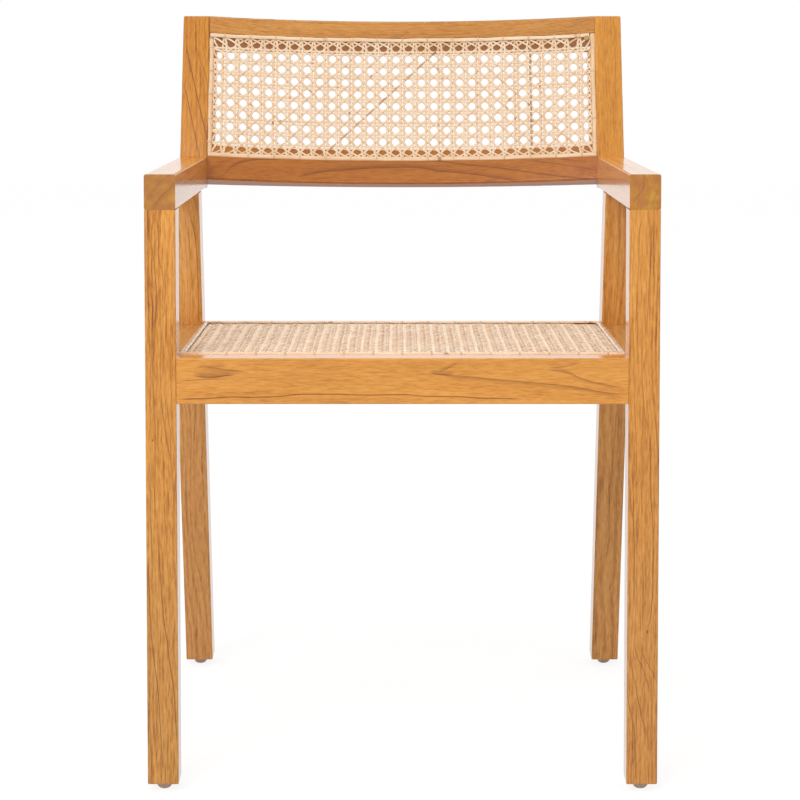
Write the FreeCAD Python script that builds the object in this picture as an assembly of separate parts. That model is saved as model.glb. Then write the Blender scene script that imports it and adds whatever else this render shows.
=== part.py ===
# A low-backed teak dining armchair with a hand-woven cane seat and a raked, bowed cane back.
# Millimetres. +Z is up, the chair's front faces -Y, and left is -X, as seen from the front.
# The origin is on the floor, in the middle of the chair's bounding box.
# Each side frame lies in one upright plane, so it is drawn in side view: depth behind the front
# foot, then height over the floor. The back frame is drawn upright and then leaned back.
import FreeCAD, Part
import math
import os

# Side frames
frame_width = 560
member_width = 34
edge_round = 1.6
arm_front_height = 674
arm_front_setback = 63
arm_back_height = 660
arm_thickness = 38.5
arm_round = 2.2
front_foot_depth = 36
front_head_depth = 45
rear_foot_setback = 525
rear_foot_depth = 40
rear_head_setback = 390
rear_head_depth = 48

# Glides under the feet
glide_height = 8.5
glide_radius = 8.5
glide_contact_radius = 4.5
glide_wall = 1.6
nail_radius = 1.25
nail_length = 16
nail_grip = 2

# Seat frame
seat_front_height = 475.7
seat_back_height = 459.5
seat_rail_height = 50
lip_thickness = 22
front_apron_thickness = 28
back_apron_thickness = 20
seat_front_width = 61.8
seat_back_width = 37.6
seat_opening_half_width = 232

# Back frame
post_setback = 534
post_rake = 25.6
post_thickness = 24
back_height = 224
back_drop = 30
top_rail_height = 41.5
lower_rail_height = 48
rail_end_thickness = 22
rail_middle_thickness = 15
rail_bow = 17
top_round = 3.5
lower_round = 2.4
post_lip_thickness = 16
back_opening_half_width = 237

# Cane
cane_pitch = 16.2
cane_thickness = 1.2
binder_thickness = 1.3
binder_width = 5.6
binder_round = 0.5
cane_hole_radius = 2
hole_line_inset = 4.2
seat_front_hole_inset = 14
seat_back_hole_inset = 14
top_hole_inset = 13
lower_hole_inset = 13
peg_radius = 1.8
peg_length = 13
gap_width = 9.4
gap_height = 10.2
gap_corner = 2.9
side_gap_width = 5.6
diamond_width = 9
diamond_height = 6.6
seat_gap_columns = 12
seat_gap_rows = 9
seat_gap_width = 23
seat_gap_depth = 22

# Joinery
tenon_thickness = 10
tenon_shoulder = 8
front_tenon_length = 18
side_tenon_length = 15
back_tenon_length = 15
tenon_root = 6
tenon_clearance = 0.15
dowel_radius = 4
dowel_length = 36
arm_dowel_radius = 3.5
arm_dowel_post_depth = 15
arm_dowel_arm_depth = 19
leg_dowel_spacing = 20
arm_dowel_spacing = 15
arm_dowel_side_inset = 12
dowel_clearance = 0.1
dowel_end_clearance = 1

# Fits
panel_clearance = 0.3
overrun = 5

half_width = frame_width / 2
inner_half = half_width - member_width
member_middle = half_width - member_width / 2
X_AXIS = FreeCAD.Vector(1, 0, 0)
RAKE = FreeCAD.Rotation(X_AXIS, -post_rake)
rake_angle = math.radians(post_rake)


# Lines of the side view
class Edge:
    # A leg's straight edge, from its place at the foot to its place at the head
    def __init__(self, foot, head):
        self.foot = foot
        self.lean = (head[0] - foot[0]) / (head[1] - foot[1])

    def at(self, height):
        return self.foot[0] + self.lean * (height - self.foot[1])


arm_slope = (arm_front_height - arm_back_height) / (post_setback - arm_front_setback)
arm_drop = arm_thickness * math.hypot(1, arm_slope)


def under_arm(depth):
    # A place on the armrest's underside
    return (depth, arm_front_height - arm_slope * (depth - arm_front_setback) - arm_drop)


front_line = Edge((0, glide_height), (arm_front_setback, arm_front_height))
arm_meeting = under_arm(0)[1] + arm_slope * front_line.lean * glide_height
front_head_height = arm_meeting / (1 + arm_slope * front_line.lean)
front_head = front_line.at(front_head_height)
front_leg_back = under_arm(front_head + front_head_depth)
rear_leg_front = under_arm(rear_head_setback)
rear_leg_back = under_arm(rear_head_setback + rear_head_depth)
front_back_line = Edge((front_foot_depth, glide_height), front_leg_back)
rear_line = Edge((rear_foot_setback, glide_height), rear_leg_front)
rear_back_line = Edge((rear_foot_setback + rear_foot_depth, glide_height), rear_leg_back)

seat_front = front_line.at(seat_front_height)
seat_back = rear_back_line.at(seat_back_height)
seat_slope = (seat_front_height - seat_back_height) / (seat_back - seat_front)
seat_angle = math.atan(seat_slope)
seat_opening_front = seat_front + seat_front_width
seat_opening_back = seat_back - seat_back_width


def seat_top(depth, below=0):
    return seat_front_height - seat_slope * (depth - seat_front) - below * math.hypot(1, seat_slope)


def meet(edge, below):
    # Where a leg's edge crosses a line parallel to the seat's top
    base = seat_top(edge.foot[0], below) - edge.foot[1]
    height = edge.foot[1] + base / (1 + seat_slope * edge.lean)
    return (edge.at(height), height)


# The back frame's own place: local Y is depth behind the posts' front faces, local Z is up them,
# and the local origin is at the lower rail's bottom front edge.
post_foot_depth = post_setback - back_drop * math.sin(rake_angle)
post_foot_height = arm_back_height - back_drop * math.cos(rake_angle)


def post_line(height, behind=0):
    # Depth of the plane that lies behind the posts' front faces by the given thickness
    return post_setback + (height - arm_back_height) * math.tan(rake_angle) + behind / math.cos(rake_angle)


def raked(depth, up):
    # The side view's place of a point of the back frame
    return (
        post_foot_depth + depth * math.cos(rake_angle) + up * math.sin(rake_angle),
        post_foot_height - depth * math.sin(rake_angle) + up * math.cos(rake_angle),
    )


rear_edge = raked(rail_bow + rail_middle_thickness - top_round, back_height - top_round)
overall_depth = rear_edge[0] + top_round
middle = FreeCAD.Vector(0, -overall_depth / 2, 0)
back_place = FreeCAD.Vector(0, post_foot_depth, post_foot_height)


# Shapes
def plate(outline, x0, x1):
    # An outline of the side view, given thickness from x0 to x1
    points = [FreeCAD.Vector(x0, depth, height) for depth, height in outline]
    face = Part.Face(Part.makePolygon(points + points[:1]))
    return face.extrude(FreeCAD.Vector(x1 - x0, 0, 0))


def eased(shape, radius, wanted):
    # Rounds the edges that the test picks by their direction and place
    edges = [edge for edge in shape.Edges if wanted(edge)]
    return shape.makeFillet(radius, edges)


def direction(edge):
    run = edge.Vertexes[-1].Point.sub(edge.Vertexes[0].Point)
    return run.normalize()


def along_side(edge):
    # An edge that runs in the side view's plane and isn't a short end
    return len(edge.Vertexes) == 2 and abs(direction(edge).x) < 0.5 and edge.Length > 2 * member_width


def along_width(edge):
    return len(edge.Vertexes) == 2 and abs(direction(edge).x) > 0.5


def is_leg_edge(edge):
    # A leg's long edge, or one round its foot
    return along_side(edge) or all(vertex.Point.z < glide_height + edge_round for vertex in edge.Vertexes)


def block(size, centre, tilt, grow=0):
    # A rectangular block turned about X, with room added on every side
    x, y, z = [length + 2 * grow for length in size]
    box = Part.makeBox(x, y, z, FreeCAD.Vector(-x / 2, -y / 2, -z / 2))
    turn = FreeCAD.Rotation(X_AXIS, math.degrees(tilt))
    box.Placement = FreeCAD.Placement(FreeCAD.Vector(*centre), turn)
    return box


def rod(radius, start, end):
    run = FreeCAD.Vector(*end).sub(FreeCAD.Vector(*start))
    return Part.makeCylinder(radius, run.Length, FreeCAD.Vector(*start), run)


def bow_depth(x, bow):
    # How far a bowed face lies behind its chord between the posts' inner faces
    radius = (inner_half ** 2 + bow ** 2) / (2 * bow)
    return math.sqrt(radius ** 2 - x ** 2) - (radius - bow)


def bowed(front, back, low, high, x0, x1, back_bow=rail_bow):
    # A slab between two bowed faces, from low to high up the posts, before the rake
    def arc(offset, bow):
        points = [FreeCAD.Vector(x, offset + bow_depth(x, bow), low) for x in (x0, (x0 + x1) / 2, x1)]
        return Part.Arc(*points).toShape()

    near = arc(front, rail_bow)
    far = arc(back, back_bow)
    ends = [
        Part.makeLine(near.valueAt(near.LastParameter), far.valueAt(far.LastParameter)),
        Part.makeLine(far.valueAt(far.FirstParameter), near.valueAt(near.FirstParameter)),
    ]
    face = Part.Face(Part.Wire(Part.__sortEdges__([near, ends[0], far, ends[1]])))
    return face.extrude(FreeCAD.Vector(0, 0, high - low))


def lean_back(shape):
    turned = shape.copy()
    turned.Placement = FreeCAD.Placement(back_place, RAKE).multiply(shape.Placement)
    return turned


def mirrored(shape):
    return shape.mirror(FreeCAD.Vector(0, 0, 0), X_AXIS)


def places(half_span):
    # Strand places either side of the middle, the last one at least this share of a pitch from the end
    end_share = 0.6
    count = math.floor(half_span / cane_pitch - end_share)
    return [cane_pitch * step for step in range(-count, count + 1)]


# Cane lines. The holes lie on a rectangle round each opening.
side_holes = inner_half - hole_line_inset
seat_front_holes = seat_opening_front - seat_front_hole_inset
seat_back_holes = seat_opening_back + seat_back_hole_inset
top_holes = back_height - top_rail_height + top_hole_inset
lower_holes = lower_rail_height - lower_hole_inset
rebate_depth = cane_thickness + binder_thickness
column_places = places(side_holes)
hole_columns = [-side_holes] + column_places + [side_holes]
seat_middle = (seat_front_holes + seat_back_holes) / 2
seat_row_places = places((seat_back_holes - seat_front_holes) / 2 * math.hypot(1, seat_slope))
back_middle = (top_holes + lower_holes) / 2
back_row_places = places((top_holes - lower_holes) / 2)
seat_front_rebate = seat_front_holes - hole_line_inset
seat_back_rebate = seat_back_holes + hole_line_inset
top_rebate = top_holes + hole_line_inset
lower_rebate = lower_holes - hole_line_inset


def seat_point(x, depth, below=0):
    # A point of the seat, by its depth along the top and how far it lies under it, square to it
    return (x, depth - below * math.sin(seat_angle), seat_top(depth) - below * math.cos(seat_angle))


def seat_side_point(depth, below=0):
    # The same point in the side view
    return seat_point(0, depth, below)[1:]


def seat_rows():
    return [seat_middle + place * math.cos(seat_angle) for place in seat_row_places]


def seat_drill(x, depth, radius=cane_hole_radius, low=lip_thickness + overrun, high=-overrun):
    return rod(radius, seat_point(x, depth, low), seat_point(x, depth, high))


def back_drill(x, up, radius=cane_hole_radius, near=-overrun, far=post_thickness + overrun):
    face = bow_depth(x, rail_bow)
    return rod(radius, (x, face + near, up), (x, face + far, up))


# Joints. Each maker gives the male part, or the room for it when grow is set.
def front_rail_tenon(grow=0):
    depth = front_line.at(seat_front_height - seat_rail_height / 2) + tenon_shoulder + tenon_thickness / 2
    height = seat_top(depth) - seat_rail_height / 2
    length = front_tenon_length + tenon_root
    size = (length, tenon_thickness, seat_rail_height - 2 * tenon_shoulder)
    centre = (inner_half - tenon_root + length / 2, depth, height)
    return block(size, centre, -math.atan(front_line.lean), grow)


def back_rail_tenon(grow=0):
    middle_height = seat_back_height - seat_rail_height / 2
    depth = rear_back_line.at(middle_height) - back_apron_thickness / 2
    length = front_tenon_length + tenon_root
    size = (length, tenon_thickness, seat_rail_height - 2 * tenon_shoulder)
    centre = (inner_half - tenon_root + length / 2, depth, middle_height)
    return block(size, centre, -math.atan(rear_back_line.lean), grow)


def side_rail_tenons(grow=0):
    tall = seat_rail_height - 2 * tenon_shoulder
    front_low = meet(front_back_line, seat_rail_height)[0]
    rear_low = meet(rear_line, seat_rail_height)[0]
    length = side_tenon_length + tenon_root
    size = (tenon_thickness, length, tall)
    shapes = []
    for depth in (front_low - side_tenon_length + length / 2, rear_low + side_tenon_length - length / 2):
        centre = (member_middle, depth, seat_top(depth) - seat_rail_height / 2)
        shapes.append(block(size, centre, -seat_angle, grow))
    return shapes


def back_rail_tenons(low, high, grow=0):
    length = back_tenon_length + tenon_root
    size = (length, tenon_thickness, high - low - 2 * tenon_shoulder)
    centre = (inner_half - tenon_root + length / 2, rail_end_thickness / 2, (low + high) / 2)
    return block(size, centre, 0, grow)


def leg_dowels(place, grow=0, end=0):
    # Two dowels square to the armrest's underside, half in the leg and half in the armrest
    angle = math.atan(arm_slope)
    along = FreeCAD.Vector(0, math.cos(angle), -math.sin(angle))
    square = FreeCAD.Vector(0, math.sin(angle), math.cos(angle))
    reach = dowel_length / 2 + end
    shapes = []
    for side in (-leg_dowel_spacing / 2, leg_dowel_spacing / 2):
        joint = FreeCAD.Vector(member_middle, *place) + along * side
        shapes.append(rod(dowel_radius + grow, joint - square * reach, joint + square * reach))
    return shapes


def front_leg_dowels(grow=0, end=0):
    return leg_dowels(under_arm(front_head + front_head_depth / 2), grow, end)


def rear_leg_dowels(grow=0, end=0):
    return leg_dowels(under_arm(rear_head_setback + rear_head_depth / 2), grow, end)


def armrest_dowels(grow=0, end=0):
    # Two dowels square to the post's front face, towards the outer side, clear of the rail's tenon
    x = half_width - arm_dowel_side_inset
    top = back_drop
    foot = back_drop - arm_drop / math.cos(rake_angle)
    centre = (top + foot) / 2 - dowel_radius
    shapes = []
    for up in (centre - arm_dowel_spacing / 2, centre + arm_dowel_spacing / 2):
        start = (x, -arm_dowel_arm_depth - end, up)
        finish = (x, arm_dowel_post_depth + end, up)
        shapes.append(lean_back(rod(arm_dowel_radius + grow, start, finish)))
    return shapes


def glide_nail(depth, grow=0, end=0):
    top = nail_length - nail_grip
    start = (member_middle, depth, glide_height - nail_grip - end)
    return rod(nail_radius + grow, start, (member_middle, depth, glide_height + top + end))


front_glide_depth = front_foot_depth / 2
rear_glide_depth = rear_foot_setback + rear_foot_depth / 2


# Wooden pieces, right side
def make_front_leg():
    outline = [
        (0, glide_height),
        (front_foot_depth, glide_height),
        front_leg_back,
        (front_head, front_head_height),
    ]
    leg = eased(plate(outline, inner_half, half_width), edge_round, is_leg_edge)
    rooms = [front_rail_tenon(tenon_clearance)]
    rooms += side_rail_tenons(tenon_clearance)
    rooms += front_leg_dowels(dowel_clearance, dowel_end_clearance)
    rooms.append(glide_nail(front_glide_depth, dowel_clearance, dowel_clearance))
    return leg.cut(rooms)


def make_rear_leg():
    outline = [
        (rear_foot_setback, glide_height),
        (rear_foot_setback + rear_foot_depth, glide_height),
        rear_leg_back,
        rear_leg_front,
    ]
    leg = eased(plate(outline, inner_half, half_width), edge_round, is_leg_edge)
    rooms = [back_rail_tenon(tenon_clearance)]
    rooms += side_rail_tenons(tenon_clearance)
    rooms += rear_leg_dowels(dowel_clearance, dowel_end_clearance)
    rooms.append(glide_nail(rear_glide_depth, dowel_clearance, dowel_clearance))
    return leg.cut(rooms)


def post_foot(behind):
    # Where the post's front or back face crosses the line of the armrest's underside
    slope = math.tan(rake_angle)
    level = post_line(arm_back_height, behind)
    height = (under_arm(level)[1] + arm_slope * slope * arm_back_height) / (1 + arm_slope * slope)
    return (post_line(height, behind), height)


def make_armrest():
    outline = [
        (front_head, front_head_height),
        post_foot(0),
        (post_setback, arm_back_height),
        (arm_front_setback, arm_front_height),
    ]
    arm = plate(outline, inner_half, half_width)
    arm = eased(arm, arm_round, along_side)
    rooms = front_leg_dowels(dowel_clearance, dowel_end_clearance)
    rooms += rear_leg_dowels(dowel_clearance, dowel_end_clearance)
    rooms += armrest_dowels(dowel_clearance, dowel_end_clearance)
    return arm.cut(rooms)


def make_side_rail():
    outline = [
        meet(front_back_line, 0),
        meet(front_back_line, seat_rail_height),
        meet(rear_line, seat_rail_height),
        meet(rear_line, 0),
    ]
    rail = plate(outline, inner_half, half_width)
    rail = eased(rail, edge_round, lambda edge: along_side(edge) and edge.Length > 2 * seat_rail_height)
    lip_outline = [
        seat_side_point(seat_opening_front, rebate_depth),
        seat_side_point(seat_opening_front, lip_thickness),
        seat_side_point(seat_opening_back, lip_thickness),
        seat_side_point(seat_opening_back, rebate_depth),
    ]
    lip = plate(lip_outline, seat_opening_half_width, inner_half)
    rail = rail.fuse([lip] + side_rail_tenons()).removeSplitter()
    return rail.cut([seat_drill(side_holes, depth) for depth in seat_rows()])


def seat_rail_outline(outer, apron, edge, rebate, inward):
    # An apron with a lip that carries the cane, its top cut down where the cane lies
    low = meet(outer, seat_rail_height)
    foot = low[0] + inward * apron
    head = foot + outer.lean * (seat_rail_height - lip_thickness)
    return [
        meet(outer, 0),
        seat_side_point(rebate),
        seat_side_point(rebate, rebate_depth),
        seat_side_point(edge, rebate_depth),
        seat_side_point(edge, lip_thickness),
        (head, seat_top(head, lip_thickness)),
        (foot, seat_top(foot, seat_rail_height)),
        low,
    ]


def make_front_rail():
    outline = seat_rail_outline(front_line, front_apron_thickness, seat_opening_front, seat_front_rebate, 1)
    rail = plate(outline, -inner_half, inner_half)
    rail = eased(rail, edge_round, lambda edge: on_outer_face(edge, front_line))
    tenon = front_rail_tenon()
    rail = rail.fuse([tenon, mirrored(tenon)]).removeSplitter()
    return rail.cut([seat_drill(x, seat_front_holes) for x in hole_columns])


def make_back_rail():
    apron = back_apron_thickness
    outline = seat_rail_outline(rear_back_line, apron, seat_opening_back, seat_back_rebate, -1)
    rail = plate(outline, -inner_half, inner_half)
    rail = eased(rail, edge_round, lambda edge: on_outer_face(edge, rear_back_line))
    tenon = back_rail_tenon()
    rail = rail.fuse([tenon, mirrored(tenon)]).removeSplitter()
    return rail.cut([seat_drill(x, seat_back_holes) for x in hole_columns])


def on_outer_face(edge, outer):
    # The long top and bottom edges of a rail's outer face
    if not along_width(edge):
        return False
    place = edge.Vertexes[0].Point
    return abs(place.y - outer.at(place.z)) < panel_clearance


def is_post_top(edge):
    return along_width(edge) and edge.Vertexes[0].Point.z > arm_front_height


def is_steep(edge):
    return abs(direction(edge).z) > abs(direction(edge).y)


def make_post():
    top = [raked(post_thickness, back_height), raked(0, back_height)]
    post = plate([post_foot(0), post_foot(post_thickness)] + top, inner_half, half_width)
    post = eased(post, top_round, is_post_top)
    post = eased(post, edge_round, lambda edge: along_side(edge) and is_steep(edge))
    low = lower_rail_height
    high = back_height - top_rail_height
    lip = bowed(rebate_depth, post_lip_thickness, low, high, back_opening_half_width, inner_half)
    post = post.fuse([lean_back(lip)]).removeSplitter()
    rooms = [back_drill(side_holes, back_middle + row) for row in back_row_places]
    rooms.append(back_rail_tenons(0, low, tenon_clearance))
    rooms.append(back_rail_tenons(high, back_height, tenon_clearance))
    bores = armrest_dowels(dowel_clearance, dowel_end_clearance)
    return post.cut([lean_back(room) for room in rooms] + bores)


def bowed_rail(low, high, radius, rounded_height):
    # Rounded along its bowed edges at one height, and only then cut to length between the posts
    back_bow = rail_bow - rail_end_thickness + rail_middle_thickness
    reach = inner_half + overrun
    rail = bowed(0, rail_end_thickness, low, high, -reach, reach, back_bow)
    rail = eased(rail, radius, lambda edge: is_bowed_edge(edge, rounded_height))
    size = (2 * inner_half, 2 * (rail_bow + rail_end_thickness), 2 * back_height)
    return rail.common(block(size, (0, 0, (low + high) / 2), 0))


def finish_back_rail(rail, low, high, rebate_low, rebate_high, hole_height):
    # Cuts the rebate for the cane, adds the tenons, drills the rail and leans it back
    reach = inner_half + overrun
    rail = rail.cut(bowed(-overrun, rebate_depth, rebate_low, rebate_high, -reach, reach))
    tenon = back_rail_tenons(low, high)
    rail = rail.fuse([tenon, mirrored(tenon)]).removeSplitter()
    return lean_back(rail.cut([back_drill(x, hole_height) for x in hole_columns]))


def make_top_rail():
    low = back_height - top_rail_height
    rail = bowed_rail(low, back_height, top_round, back_height)
    return finish_back_rail(rail, low, back_height, low - overrun, top_rebate, top_holes)


def make_lower_rail():
    high = lower_rail_height
    rail = bowed_rail(0, high, lower_round, 0)
    return finish_back_rail(rail, 0, high, lower_rebate, high + overrun, lower_holes)


def is_bowed_edge(edge, height):
    level = abs(edge.Vertexes[0].Point.z - height) + abs(edge.Vertexes[-1].Point.z - height)
    return along_width(edge) and level < panel_clearance


# The cane panels are thin sheets. The back's has the weave's open gaps, and the seat's a coarser grid.
def seat_gap(x, depth):
    # A rectangular opening, cut upright through the sheet
    start = FreeCAD.Vector(x - seat_gap_width / 2, depth - seat_gap_depth / 2, seat_top(depth, lip_thickness))
    return Part.makeBox(seat_gap_width, seat_gap_depth, lip_thickness + overrun, start)


def make_seat_cane():
    front = seat_front_rebate + panel_clearance
    back = seat_back_rebate - panel_clearance
    outline = [
        seat_side_point(front, binder_thickness),
        seat_side_point(front, rebate_depth),
        seat_side_point(back, rebate_depth),
        seat_side_point(back, binder_thickness),
    ]
    sheet = plate(outline, panel_clearance - inner_half, inner_half - panel_clearance)
    cuts = [
        seat_drill(x, depth)
        for x in (-side_holes, side_holes)
        for depth in (seat_front_holes, seat_back_holes)
    ]
    across = 2 * seat_opening_half_width / seat_gap_columns
    along = (seat_opening_back - seat_opening_front) / seat_gap_rows
    for column in range(seat_gap_columns):
        for row in range(seat_gap_rows):
            x = (column + 0.5) * across - seat_opening_half_width
            cuts.append(seat_gap(x, seat_opening_front + (row + 0.5) * along))
    return sheet.cut(cuts)


def gap(x, up, corners):
    # One open gap of the weave, cut straight through the sheet, with its corners given from its middle
    points = [FreeCAD.Vector(x + right, -overrun, up + over) for right, over in corners]
    face = Part.Face(Part.makePolygon(points + points[:1]))
    return face.extrude(FreeCAD.Vector(0, rail_bow + 2 * overrun, 0))


def octagon(width, height, corner):
    half_x = width / 2
    half_z = height / 2
    quarter = [(half_x, half_z - corner), (half_x - corner, half_z)]
    upper = quarter + [(-x, z) for x, z in reversed(quarter)]
    return upper + [(-x, -z) for x, z in upper]


def diamond(width, height):
    return [(width / 2, 0), (0, height / 2), (-width / 2, 0), (0, -height / 2)]


def make_back_cane():
    low = lower_rebate + panel_clearance
    high = top_rebate - panel_clearance
    edge = inner_half - panel_clearance
    sheet = bowed(binder_thickness, rebate_depth, low, high, -edge, edge)
    columns = [(left + right) / 2 for left, right in zip(column_places, column_places[1:])]
    rows = [(under + over) / 2 + back_middle for under, over in zip(back_row_places, back_row_places[1:])]
    whole = octagon(gap_width, gap_height, gap_corner)
    cuts = [gap(x, up, whole) for x in columns for up in rows]
    side = (column_places[-1] + back_opening_half_width) / 2
    narrow = octagon(side_gap_width, gap_height, side_gap_width / 3)
    cuts += [gap(x, up, narrow) for x in (-side, side) for up in rows]
    top_row = (top_rebate - binder_width + back_middle + back_row_places[-1]) / 2
    lower_row = (lower_rebate + binder_width + back_middle + back_row_places[0]) / 2
    edge_gap = diamond(diamond_width, diamond_height)
    cuts += [gap(x, up, edge_gap) for x in columns for up in (top_row, lower_row)]
    cuts += [back_drill(x, up) for x in (-side_holes, side_holes) for up in (lower_holes, top_holes)]
    return lean_back(sheet.cut(cuts))


# Binders lie on the cane over the holes, and end short of the pegs in the corners and of each other
binder_half = side_holes - binder_width / 2 - panel_clearance


def seat_binder_along(depth):
    outline = [
        seat_side_point(depth - binder_width / 2),
        seat_side_point(depth - binder_width / 2, binder_thickness),
        seat_side_point(depth + binder_width / 2, binder_thickness),
        seat_side_point(depth + binder_width / 2),
    ]
    strip = plate(outline, -binder_half, binder_half)
    return eased(strip, binder_round, lambda edge: along_width(edge) and is_seat_top(edge))


def is_seat_top(edge):
    return all(abs(vertex.Point.z - seat_top(vertex.Point.y)) < binder_round for vertex in edge.Vertexes)


def seat_binder_across():
    front = seat_front_holes + cane_hole_radius + panel_clearance
    back = seat_back_holes - cane_hole_radius - panel_clearance
    outline = [
        seat_side_point(front),
        seat_side_point(front, binder_thickness),
        seat_side_point(back, binder_thickness),
        seat_side_point(back),
    ]
    strip = plate(outline, side_holes - binder_width / 2, side_holes + binder_width / 2)
    return eased(strip, binder_round, lambda edge: not along_width(edge) and is_seat_top(edge))


def back_binder_along(height):
    low = height - binder_width / 2
    return lean_back(bowed(0, binder_thickness, low, low + binder_width, -binder_half, binder_half))


def back_binder_across():
    low = lower_holes + cane_hole_radius + panel_clearance
    high = top_holes - cane_hole_radius - panel_clearance
    x0 = side_holes - binder_width / 2
    return lean_back(bowed(0, binder_thickness, low, high, x0, side_holes + binder_width / 2))


def seat_peg(depth):
    return seat_drill(side_holes, depth, peg_radius, peg_length, binder_thickness / 2)


def back_peg(up):
    return lean_back(back_drill(side_holes, up, peg_radius, binder_thickness / 2, peg_length))


def make_glide(depth):
    # A nylon dome with a flat to stand on and a blind hole for its nail
    outline = [
        FreeCAD.Vector(0, 0, 0),
        FreeCAD.Vector(glide_contact_radius, 0, 0),
        FreeCAD.Vector(glide_radius, 0, glide_height - glide_wall),
        FreeCAD.Vector(glide_radius, 0, glide_height),
        FreeCAD.Vector(0, 0, glide_height),
    ]
    bulge = glide_radius - (glide_radius - glide_contact_radius) / 4
    knee = FreeCAD.Vector(bulge, 0, (glide_height - glide_wall) / 3)
    edges = [
        Part.makeLine(outline[0], outline[1]),
        Part.Arc(outline[1], knee, outline[2]).toShape(),
        Part.makeLine(outline[2], outline[3]),
        Part.makeLine(outline[3], outline[4]),
        Part.makeLine(outline[4], outline[0]),
    ]
    dome = Part.Face(Part.Wire(edges)).revolve(FreeCAD.Vector(0, 0, 0), FreeCAD.Vector(0, 0, 1), 360)
    dome.translate(FreeCAD.Vector(member_middle, depth, 0))
    return dome.cut(glide_nail(depth, dowel_clearance / 2, 0))


def both(shapes):
    return Part.makeCompound(shapes + [mirrored(shape) for shape in shapes])


def build():
    pairs = {
        "front_leg": make_front_leg(),
        "rear_leg": make_rear_leg(),
        "armrest": make_armrest(),
        "seat_side_rail": make_side_rail(),
        "back_post": make_post(),
        "seat_binder": seat_binder_across(),
        "back_binder": back_binder_across(),
        "front_glide": make_glide(front_glide_depth),
        "rear_glide": make_glide(rear_glide_depth),
    }
    nodes = {}
    for name, shape in pairs.items():
        nodes[name + "_right"] = shape
        nodes[name + "_left"] = mirrored(shape)
    nodes["seat_front_rail"] = make_front_rail()
    nodes["seat_back_rail"] = make_back_rail()
    nodes["back_top_rail"] = make_top_rail()
    nodes["back_lower_rail"] = make_lower_rail()
    nodes["seat_cane"] = make_seat_cane()
    nodes["back_cane"] = make_back_cane()
    nodes["seat_binder_front"] = seat_binder_along(seat_front_holes)
    nodes["seat_binder_back"] = seat_binder_along(seat_back_holes)
    nodes["back_binder_lower"] = back_binder_along(lower_holes)
    nodes["back_binder_top"] = back_binder_along(top_holes)
    nodes["seat_cane_pegs"] = both([seat_peg(depth) for depth in (seat_front_holes, seat_back_holes)])
    nodes["back_cane_pegs"] = both([back_peg(up) for up in (lower_holes, top_holes)])
    nodes["front_leg_dowels"] = both(front_leg_dowels())
    nodes["rear_leg_dowels"] = both(rear_leg_dowels())
    nodes["armrest_dowels"] = both(armrest_dowels())
    nodes["glide_nails"] = both([glide_nail(front_glide_depth), glide_nail(rear_glide_depth)])
    return nodes


os.makedirs("parts", exist_ok=True)
for name, shape in sorted(build().items()):
    shape.translate(middle)
    shape.exportStep("parts/" + name + ".step")
    box = shape.BoundBox
    print(name, len(shape.Solids), shape.isValid(), round(shape.Volume),
          [round(value, 1) for value in (box.XMin, box.XMax, box.YMin, box.YMax, box.ZMin, box.ZMax)])
print("depth", round(overall_depth, 2))
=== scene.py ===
# The looks of a teak armchair with a hand-woven cane seat and back.
# Metres, in the frame's own axes: +Z is up, the chair's front faces -Y, and left is -X.
import math
import random

import bpy
import numpy as np
from mathutils import Color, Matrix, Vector


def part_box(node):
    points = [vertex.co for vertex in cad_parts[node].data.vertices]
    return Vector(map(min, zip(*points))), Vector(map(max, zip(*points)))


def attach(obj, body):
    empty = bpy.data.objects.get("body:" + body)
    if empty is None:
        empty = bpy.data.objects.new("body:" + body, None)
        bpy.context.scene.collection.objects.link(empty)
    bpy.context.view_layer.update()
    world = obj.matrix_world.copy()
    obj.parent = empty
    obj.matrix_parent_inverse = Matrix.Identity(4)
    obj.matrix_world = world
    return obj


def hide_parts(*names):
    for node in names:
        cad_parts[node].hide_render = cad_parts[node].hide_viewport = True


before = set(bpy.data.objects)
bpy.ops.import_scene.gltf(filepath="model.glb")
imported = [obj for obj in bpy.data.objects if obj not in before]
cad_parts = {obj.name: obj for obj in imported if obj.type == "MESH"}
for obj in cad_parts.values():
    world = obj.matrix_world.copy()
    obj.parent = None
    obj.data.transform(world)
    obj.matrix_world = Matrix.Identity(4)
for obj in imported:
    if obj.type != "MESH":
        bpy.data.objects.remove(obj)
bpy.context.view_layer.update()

MM = 0.001

# The photograph's camera
PHOTO_PIXELS = 800
PHOTO_FOCUS_PIXELS = 2600
SENSOR_WIDTH = 36
CAMERA_PLACE = Vector((-0.0027, -3.0738, 0.892))
CAMERA_PITCH = math.radians(9.39)

# The caned panels, as the frame holds them. Depths are behind the rails' outer surface.
INNER_HALF = 246 * MM
SIDE_HOLES = 241.8 * MM
CANE_PITCH = 16.2 * MM
HALF_PITCH = CANE_PITCH / 2
BINDER_THICKNESS = 1.3 * MM
CANE_DEPTH = 1.9 * MM
HOLE_RADIUS = 2 * MM
POST_RAKE = math.radians(25.6)
BACK_FOOT = Vector((0, 0.19828, 0.63294))
BACK_HOLES = (35 * MM, 195.5 * MM)
BACK_BOW = 17 * MM
RAIL_END_THICKNESS = 22 * MM
RAIL_MIDDLE_THICKNESS = 15 * MM
POST_LIP_THICKNESS = 16 * MM
SEAT_LIP_THICKNESS = 22 * MM
COLUMN_STEPS = 14
SEAT_ROW_STEPS = 10
BACK_ROW_STEPS = 4

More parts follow.
